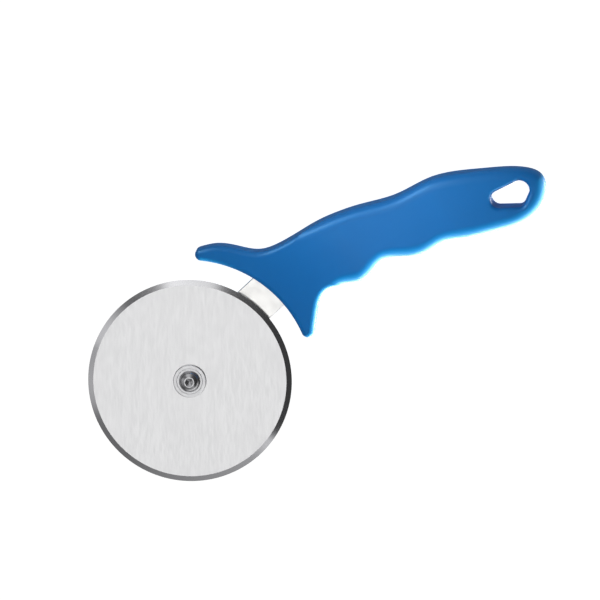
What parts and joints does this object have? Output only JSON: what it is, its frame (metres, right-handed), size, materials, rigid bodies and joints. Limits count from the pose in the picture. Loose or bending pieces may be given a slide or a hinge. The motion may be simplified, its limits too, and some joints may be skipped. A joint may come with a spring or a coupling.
{
  "type": "pastry cutter wheel",
  "caption": "Bevelled steel cutting wheel that spins on a flanged bush, held on one side by a cranked shank in a moulded grip with guard and hang hole.",
  "frame": {"origin": "on the surface the tool lies on, below the middle of its bounding box; the wheel's centre is at x = -75.3 mm, y = -2.2 mm", "axes": "+X from the wheel to the tail of the handle, +Z along the wheel's spin axis, out of the screw's head; the tool lies on its back with the wheel level"},
  "size_m": [0.2507, 0.1043, 0.02],
  "materials": {
    "handle_plastic": "satin moulded polypropylene, blue",
    "shank_steel": "tumbled stainless plate",
    "wheel_steel": "finely brushed stainless with a ground bevel",
    "turned_steel": "turned stainless",
    "screw_steel": "bright stainless fastener"
  },
  "bodies": {
    "tool": {"handle": "handle_plastic", "shank": "shank_steel", "flanged_bush": "turned_steel", "axle_screw": "screw_steel", "spacer_washer": "turned_steel", "lock_washer": "screw_steel", "axle_nut": "screw_steel"},
    "wheel": {"cutting_wheel": "wheel_steel"}
  },
  "joints": [
    {"name": "wheel_spin", "type": "hinge", "parent": "tool", "child": "wheel", "pos_m": [-0.0753, -0.0022, 0.0101], "axis": [0, 0, 1], "continuous": true}
  ]
}
